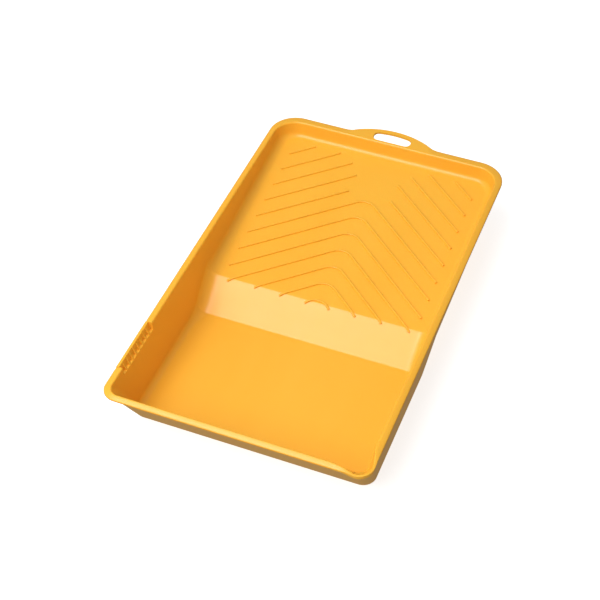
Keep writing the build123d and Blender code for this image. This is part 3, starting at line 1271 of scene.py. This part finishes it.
@dataclass(frozen=True)
class RampRibs:
    """Raised ribs of the ramp: nested chevrons, and separate diagonals behind them."""

    places: TrayPlaces
    pitch: float = 21.8
    crowding: float = 0.0019
    angle: float = 39.4
    width: float = 1.9
    height: float = 1.5
    edge: float = 0.4
    chevrons: int = 7
    diagonals: int = 5
    first_apex: float = 334.7
    bend: float = 14.0
    crest_overrun: float = 3.0
    clear_middle: float = 20.9
    clear_back: float = 15.2

    def ramp_frame(self) -> tuple[float, Point3]:
        """Returns the ramp's tilt, and the middle of its crest in metres."""
        p = self.places
        return math.atan(p.ramp_rise), (0.0, p.crest * MM, p.crest_height * MM)

    def inputs(self, count: int, first: float, material: bpy.types.Material) -> dict[str, Any]:
        """Named inputs that both kinds of rib share.

        Args:
            count: number of ribs.
            first: distance up the ramp from the crest to the first rib's start.
            material: finish of the ribs.

        Returns:
            Socket type and value by name.
        """
        tilt = math.atan(self.places.ramp_rise)
        return {
            "Count": ("NodeSocketInt", count),
            "First": ("NodeSocketFloat", first * MM / math.cos(tilt)),
            "Pitch": ("NodeSocketFloat", self.pitch * MM / math.cos(tilt)),
            "Half Span": ("NodeSocketFloat", self.places.rib_half_width * MM),
            "Rise": ("NodeSocketFloat", math.tan(math.radians(self.angle)) / math.cos(tilt)),
            "Width": ("NodeSocketFloat", self.width * MM),
            "Height": ("NodeSocketFloat", self.height * MM),
            "Edge": ("NodeSocketFloat", self.edge * MM),
            "Step": ("NodeSocketFloat", 1.2 * MM),
            "Material": ("NodeSocketMaterial", material),
        }

    def sweep(self, tree: RibTree, curves: Any) -> Any:
        """Gives flat curves a rounded rib section and lays them on the ramp.

        Args:
            tree: tree to add to.
            curves: socket of the curves, drawn level with the crest at the origin.

        Returns:
            Socket of the ribs in the tray's frame.
        """
        upright = tree.node("GeometryNodeSetCurveNormal", {}, {"Curve": curves})
        upright.mode = "Z_UP"
        reach = tree.node("GeometryNodeSplineLength", {}, {})
        along = tree.node("GeometryNodeSplineParameter", {}, {})
        left = tree.sum("SUBTRACT", reach.outputs["Length"], along.outputs["Length"])
        nearest = tree.sum("MINIMUM", along.outputs["Length"], left)
        share = tree.sum("MINIMUM", tree.sum("DIVIDE", nearest, tree.input("Width")), 1.0)
        swell = tree.sum("ADD", tree.sum("MULTIPLY", tree.sum("SQRT", share), 0.62), 0.38)
        tapered = tree.node(
            "GeometryNodeSetCurveRadius", {}, {"Curve": upright.outputs[0], "Radius": swell}
        )
        tall = tree.sum("MULTIPLY", tree.input("Height"), 2.0)
        square = tree.node(
            "GeometryNodeCurvePrimitiveQuadrilateral",
            {"mode": "RECTANGLE"},
            {"Width": tree.input("Width"), "Height": tall},
        )
        section = tree.node(
            "GeometryNodeFilletCurve",
            {"mode": "POLY"},
            {"Curve": square.outputs[0], "Count": 3, "Radius": tree.input("Edge")},
        )
        swept = tree.node(
            "GeometryNodeCurveToMesh",
            {},
            {"Curve": tapered.outputs[0], "Profile Curve": section.outputs[0], "Fill Caps": True},
        )
        tilt, crest = self.ramp_frame()
        laid = tree.node(
            "GeometryNodeTransform",
            {},
            {"Geometry": swept.outputs[0], "Translation": crest, "Rotation": (tilt, 0.0, 0.0)},
        )
        smooth = tree.node("GeometryNodeSetShadeSmooth", {}, {"Geometry": laid.outputs[0]})
        return smooth.outputs[0]

    def trimmed(self, tree: RibTree, curves: Any, outside: Any) -> Any:
        """Drops the points of curves where a test is true.

        Args:
            tree: tree to add to.
            curves: socket of the curves.
            outside: socket that is true for points to drop.

        Returns:
            Socket of what is left.
        """
        settings = {"domain": "POINT", "mode": "ALL"}
        inputs = {"Geometry": curves, "Selection": outside}
        return tree.node("GeometryNodeDeleteGeometry", settings, inputs).outputs[0]

    def stepped(self, tree: RibTree, curves: Any) -> Any:
        """Returns curves cut into steps of the Step input."""
        settings = {"mode": "LENGTH"}
        inputs = {"Curve": curves, "Length": tree.input("Step")}
        return tree.node("GeometryNodeResampleCurve", settings, inputs).outputs[0]

    def chevron_piece(self, material: bpy.types.Material) -> bpy.types.Object:
        """Builds the nested chevrons.

        Args:
            material: finish of the ribs.

        Returns:
            Their object.
        """
        first = self.places.rim_front + self.first_apex - self.places.crest
        inputs = self.inputs(self.chevrons, first, material)
        inputs["Bend"] = ("NodeSocketFloat", self.bend * MM)
        inputs["Overrun"] = ("NodeSocketFloat", self.crest_overrun * MM)
        inputs["Fall"] = ("NodeSocketFloat", 0.62)
        inputs["Crowding"] = ("NodeSocketFloat", self.crowding * MM)
        tree = RibTree("nested chevrons", inputs)
        span = tree.input("Half Span")
        drop = tree.sum("MULTIPLY", span, tree.input("Rise"))
        low = tree.sum("MULTIPLY", drop, -1.0)
        minus_span = tree.sum("MULTIPLY", span, -1.0)
        line = tree.node(
            "GeometryNodeCurvePrimitiveLine",
            {"mode": "POINTS"},
            {"Start": tree.vector(minus_span, low, 0.0), "End": tree.vector(span, low, 0.0)},
        )
        three = tree.node(
            "GeometryNodeResampleCurve", {"mode": "COUNT"}, {"Curve": line.outputs[0], "Count": 3}
        )
        index = tree.node("GeometryNodeInputIndex", {}, {})
        is_middle = tree.node(
            "FunctionNodeCompare", {"data_type": "INT", "operation": "EQUAL"}, {2: index.outputs[0], 3: 1}
        )
        bent = tree.node(
            "GeometryNodeSetPosition",
            {},
            {
                "Geometry": three.outputs[0],
                "Selection": is_middle.outputs[0],
                "Offset": tree.vector(0.0, drop, 0.0),
            },
        )
        rounded = tree.node(
            "GeometryNodeFilletCurve",
            {"mode": "POLY"},
            {"Curve": bent.outputs[0], "Count": 6, "Radius": tree.input("Bend")},
        )
        back = tree.sum("MULTIPLY", tree.input("Pitch"), -1.0)
        rows = tree.node(
            "GeometryNodeMeshLine",
            {"mode": "OFFSET"},
            {
                "Count": tree.input("Count"),
                "Start Location": tree.vector(0.0, tree.input("First"), 0.0),
                "Offset": tree.vector(0.0, back, 0.0),
            },
        )
        fourth = tree.sum("POWER", index.outputs[0], 4.0)
        crowd = tree.sum("MULTIPLY", fourth, tree.input("Crowding"))
        crowded = tree.node(
            "GeometryNodeSetPosition",
            {},
            {"Geometry": rows.outputs[0], "Offset": tree.vector(0.0, crowd, 0.0)},
        )
        copies = tree.node(
            "GeometryNodeInstanceOnPoints",
            {},
            {"Points": crowded.outputs[0], "Instance": rounded.outputs[0]},
        )
        real = tree.node("GeometryNodeRealizeInstances", {}, {"Geometry": copies.outputs[0]})
        spot = tree.node("GeometryNodeInputPosition", {}, {})
        parts = tree.node("ShaderNodeSeparateXYZ", {}, {0: spot.outputs[0]})
        limit = tree.sum("MULTIPLY", tree.input("Overrun"), -1.0)
        past = tree.node(
            "FunctionNodeCompare",
            {"data_type": "FLOAT", "operation": "LESS_THAN"},
            {0: parts.outputs[1], 1: limit},
        )
        kept = self.trimmed(tree, self.stepped(tree, real.outputs[0]), past.outputs[0])
        below = tree.sum("MULTIPLY", tree.sum("MINIMUM", parts.outputs[1], 0.0), tree.input("Fall"))
        bent_over = tree.node(
            "GeometryNodeSetPosition",
            {},
            {"Geometry": kept, "Offset": tree.vector(0.0, 0.0, below)},
        )
        tree.finish(self.sweep(tree, bent_over.outputs[0]))
        return join_object("chevron_rib_set", tree.mesh("chevron_rib_set"))

    def diagonal_piece(self, side: RibSide, material: bpy.types.Material) -> bpy.types.Object:
        """Builds one side's diagonals, cut off by the blank middle and the back.

        Args:
            side: side of the ramp.
            material: finish of the ribs.

        Returns:
            Their object.
        """
        p = self.places
        tilt, _ = self.ramp_frame()
        outer = self.first_apex - math.tan(math.radians(self.angle)) * p.rib_half_width + self.pitch
        first = p.rim_front + outer - p.crest
        inputs = self.inputs(self.diagonals, first, material)
        middle = (p.rim_back - 38.5 - p.crest) * MM / math.cos(tilt)
        back = (p.rim_back - self.clear_back - 5.5 - p.crest) * MM / math.cos(tilt)
        inputs["Side"] = ("NodeSocketFloat", side.value)
        inputs["Clear Middle"] = ("NodeSocketFloat", self.clear_middle * MM)
        inputs["Clear Back"] = ("NodeSocketFloat", back)
        inputs["Clear Slant"] = ("NodeSocketFloat", middle)
        tree = RibTree(f"{side.name.lower()} diagonals", inputs)
        span = tree.input("Half Span")
        rise = tree.sum("MULTIPLY", span, tree.input("Rise"))
        line = tree.node(
            "GeometryNodeCurvePrimitiveLine",
            {"mode": "POINTS"},
            {
                "Start": tree.vector(tree.sum("MULTIPLY", span, tree.input("Side")), 0.0, 0.0),
                "End": tree.vector(0.0, rise, 0.0),
            },
        )
        rows = tree.node(
            "GeometryNodeMeshLine",
            {"mode": "OFFSET"},
            {
                "Count": tree.input("Count"),
                "Start Location": tree.vector(0.0, tree.input("First"), 0.0),
                "Offset": tree.vector(0.0, tree.input("Pitch"), 0.0),
            },
        )
        copies = tree.node(
            "GeometryNodeInstanceOnPoints", {}, {"Points": rows.outputs[0], "Instance": line.outputs[0]}
        )
        real = tree.node("GeometryNodeRealizeInstances", {}, {"Geometry": copies.outputs[0]})
        spot = tree.node("GeometryNodeInputPosition", {}, {})
        parts = tree.node("ShaderNodeSeparateXYZ", {}, {0: spot.outputs[0]})
        across = tree.sum("ABSOLUTE", parts.outputs[0])
        too_near = tree.sum("LESS_THAN", across, tree.input("Clear Middle"))
        too_far = tree.sum("GREATER_THAN", parts.outputs[1], tree.input("Clear Back"))
        beyond = tree.sum("SUBTRACT", across, tree.input("Clear Middle"))
        slant = tree.sum("ADD", tree.input("Clear Slant"), tree.sum("MULTIPLY", beyond, 0.9))
        past_slant = tree.sum("GREATER_THAN", parts.outputs[1], slant)
        drop = tree.sum("MAXIMUM", tree.sum("MAXIMUM", too_near, too_far), past_slant)
        is_out = tree.node(
            "FunctionNodeCompare", {"data_type": "FLOAT", "operation": "GREATER_THAN"}, {0: drop, 1: 0.5}
        )
        kept = self.trimmed(tree, self.stepped(tree, real.outputs[0]), is_out.outputs[0])
        tree.finish(self.sweep(tree, kept))
        name = f"{side.name.lower()}_diagonal_rib_set"
        return join_object(name, tree.mesh(name))


@dataclass(frozen=True)
class BrushComb:
    """Upright teeth in the rim's pocket, each sloping from the outer strip down to the ledge."""

    places: TrayPlaces
    count: int = 8
    thickness: float = 1.1
    strip: float = 3.0
    toe: float = 0.8
    top_gap: float = 0.5
    end_wall: float = 2.4
    reach: float = 3.75

    def piece(self, material: bpy.types.Material) -> bpy.types.Object:
        """Builds the teeth.

        Args:
            material: finish of the teeth.

        Returns:
            Their object.
        """
        p = self.places
        front = p.comb_front + self.end_wall
        length = p.comb_back - p.comb_front - 2 * self.end_wall
        pitch = length / (self.count + 1)
        ledge = p.comb_floor + self.end_wall
        height = p.top - self.top_gap - ledge
        inputs = {
            "Count": ("NodeSocketInt", self.count),
            "Pitch": ("NodeSocketFloat", pitch * MM),
            "Thickness": ("NodeSocketFloat", self.thickness * MM),
            "Reach": ("NodeSocketFloat", self.reach * MM),
            "Height": ("NodeSocketFloat", height * MM),
            "Toe": ("NodeSocketFloat", self.toe * MM),
            "Material": ("NodeSocketMaterial", material),
        }
        tree = RibTree("comb teeth", inputs)
        size = tree.vector(tree.input("Reach"), tree.input("Thickness"), tree.input("Height"))
        block = tree.node(
            "GeometryNodeMeshCube",
            {},
            {"Size": size, "Vertices X": 4, "Vertices Y": 3, "Vertices Z": 3},
        )
        spot = tree.node("GeometryNodeInputPosition", {}, {})
        parts = tree.node("ShaderNodeSeparateXYZ", {}, {0: spot.outputs[0]})
        along = tree.sum("ADD", tree.sum("DIVIDE", parts.outputs[0], tree.input("Reach")), 0.5)
        up = tree.sum("ADD", tree.sum("DIVIDE", parts.outputs[2], tree.input("Height")), 0.5)
        fall = tree.sum("SUBTRACT", tree.input("Height"), tree.input("Toe"))
        lower = tree.sum("MULTIPLY", tree.sum("MULTIPLY", along, up), fall)
        sloped = tree.node(
            "GeometryNodeSetPosition",
            {},
            {
                "Geometry": block.outputs[0],
                "Offset": tree.vector(0.0, 0.0, tree.sum("MULTIPLY", lower, -1.0)),
            },
        )
        start = (
            (-p.half_width + self.strip + self.reach / 2) * MM,
            (front + pitch) * MM,
            (ledge + height / 2) * MM,
        )
        rows = tree.node(
            "GeometryNodeMeshLine",
            {"mode": "OFFSET"},
            {
                "Count": tree.input("Count"),
                "Start Location": start,
                "Offset": tree.vector(0.0, tree.input("Pitch"), 0.0),
            },
        )
        copies = tree.node(
            "GeometryNodeInstanceOnPoints",
            {},
            {"Points": rows.outputs[0], "Instance": sloped.outputs[0]},
        )
        tree.finish(copies.outputs[0])
        piece = join_object("comb_teeth", tree.mesh("comb_teeth"))
        bevel = piece.modifiers.new("eased_edges", "BEVEL")
        bevel.width = 0.16 * MM
        bevel.segments = 2
        bevel.limit_method = "ANGLE"
        return piece


@dataclass(frozen=True)
class Studio:
    """Pale floor, soft lights and the camera."""

    camera_place: Point3 = (0.3179, -0.8841, 0.9701)
    sight: Point3 = (-0.25141, 0.65649, -0.71121)
    upright: Point3 = (-0.26295, 0.66085, 0.70295)
    lens: float = 87.46
    floor_size: float = 6.0
    sky_above: float = 0.44
    sky_below: float = 0.60
    sky_left: float = 0.12
    sky_mirrored: float = 0.3

    def camera(self) -> None:
        """Adds the camera."""
        data = bpy.data.cameras.new("camera")
        data.lens = self.lens
        data.sensor_width = 36.0
        data.clip_start = 0.01
        data.clip_end = 50.0
        camera = bpy.data.objects.new("camera", data)
        bpy.context.scene.collection.objects.link(camera)
        forward = Vector(self.sight).normalized()
        right = forward.cross(Vector(self.upright)).normalized()
        up = right.cross(forward)
        turn = Matrix((right, up, -forward)).transposed().to_4x4()
        camera.matrix_world = Matrix.Translation(Vector(self.camera_place)) @ turn
        bpy.context.scene.camera = camera

    def floor(self) -> None:
        """Adds the pale floor, which isn't part of the tray."""
        bm = bmesh.new()
        bmesh.ops.create_grid(bm, x_segments=1, y_segments=1, size=self.floor_size / 2)
        mesh = bpy.data.meshes.new("studio_floor")
        bm.to_mesh(mesh)
        bm.free()
        floor = join_object("studio_floor", mesh)
        tree = ShaderTree("studio_floor")
        shader = tree.raw("ShaderNodeBsdfPrincipled", {}, {})
        shader.inputs["Base Color"].default_value = (0.55, 0.55, 0.55, 1.0)
        shader.inputs["Roughness"].default_value = 0.9
        shader.inputs["Emission Color"].default_value = (1.0, 1.0, 1.0, 1.0)
        shader.inputs["Emission Strength"].default_value = 0.74
        output = tree.raw("ShaderNodeOutputMaterial", {}, {})
        tree.tree.links.new(shader.outputs[0], output.inputs["Surface"])
        mesh.materials.append(tree.material)
        floor.visible_diffuse = False
        floor.visible_glossy = False

    def soft_box(self, name: str, place: Point3, aim: Point3, size: float, power: float) -> None:
        """Adds a square area light.

        Args:
            name: name of the light.
            place: where it hangs, in metres.
            aim: point that it faces.
            size: length of a side, in metres.
            power: power in watts.
        """
        data = bpy.data.lights.new(name, "AREA")
        data.shape = "SQUARE"
        data.size = size
        data.energy = power
        light = bpy.data.objects.new(name, data)
        bpy.context.scene.collection.objects.link(light)
        facing = (Vector(aim) - Vector(place)).normalized()
        turn = facing.to_track_quat("-Z", "Y").to_matrix().to_4x4()
        light.matrix_world = Matrix.Translation(Vector(place)) @ turn

    def sky(self) -> None:
        """Adds soft light from all round, brighter from above and from the left."""
        world = bpy.data.worlds.new("studio_sky")
        world.use_nodes = True
        nodes, links = world.node_tree.nodes, world.node_tree.links
        place = nodes.new("ShaderNodeTexCoord")
        parts = nodes.new("ShaderNodeSeparateXYZ")
        links.new(place.outputs["Generated"], parts.inputs[0])
        rise = nodes.new("ShaderNodeMapRange")
        rise.interpolation_type = "SMOOTHSTEP"
        for number, value in enumerate((-0.15, 0.4, self.sky_below, self.sky_above), start=1):
            rise.inputs[number].default_value = value
        links.new(parts.outputs[2], rise.inputs[0])
        lean = nodes.new("ShaderNodeMath")
        lean.operation = "MULTIPLY_ADD"
        links.new(parts.outputs[0], lean.inputs[0])
        lean.inputs[1].default_value = -self.sky_left
        links.new(rise.outputs[0], lean.inputs[2])
        ray = nodes.new("ShaderNodeLightPath")
        mirrored = nodes.new("ShaderNodeMapRange")
        mirrored.inputs[3].default_value = 1.0
        mirrored.inputs[4].default_value = self.sky_mirrored
        links.new(ray.outputs["Is Glossy Ray"], mirrored.inputs[0])
        strength = nodes.new("ShaderNodeMath")
        strength.operation = "MULTIPLY"
        links.new(lean.outputs[0], strength.inputs[0])
        links.new(mirrored.outputs[0], strength.inputs[1])
        links.new(strength.outputs[0], nodes["Background"].inputs[1])
        nodes["Background"].inputs[0].default_value = (1.0, 1.0, 1.0, 1.0)
        bpy.context.scene.world = world

    def lights(self) -> None:
        """Adds the sky and the soft boxes."""
        self.sky()
        self.soft_box("key", (-0.34, -0.94, 1.20), (0.0, 0.0, 0.03), 1.0, 14.5)
        self.soft_box("top", (-0.40, -0.25, 1.40), (0.0, 0.0, 0.03), 0.8, 7.0)
        bpy.context.scene.view_settings.view_transform = "Standard"


def main() -> None:
    """Builds every piece in order."""
    logging.basicConfig(level=logging.INFO, format="%(message)s")
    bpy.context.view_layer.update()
    places = TrayPlaces.from_frame()
    plastic = MouldedPlastic("satin_yellow_plastic").build()
    shell = TrayShell(places).build()
    shell.data.materials.append(plastic)
    settle(
        shell,
        "well_floor",
        "drop_slope",
        "ramp_panel",
        "front_wall",
        "back_wall",
        "left_wall",
        "right_wall",
        "front_rim",
        "left_rim",
        "right_rim",
        "pour_spout",
        "comb_pocket",
        "hang_tab",
    )
    ribs = RampRibs(places)
    settle(ribs.chevron_piece(plastic), "chevron_ribs")
    settle(ribs.diagonal_piece(RibSide.LEFT, plastic), "left_diagonal_ribs")
    settle(ribs.diagonal_piece(RibSide.RIGHT, plastic), "right_diagonal_ribs")
    settle(BrushComb(places).piece(plastic), "comb_ribs")
    for name in ("rear_foot_left", "rear_foot_right"):
        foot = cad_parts[name]
        foot.data.materials.clear()
        foot.data.materials.append(plastic)
        LOG.info("%s: kept from the CAD model", name)
    studio = Studio()
    studio.camera()
    studio.floor()
    studio.lights()


if __name__ == "__main__":
    main()
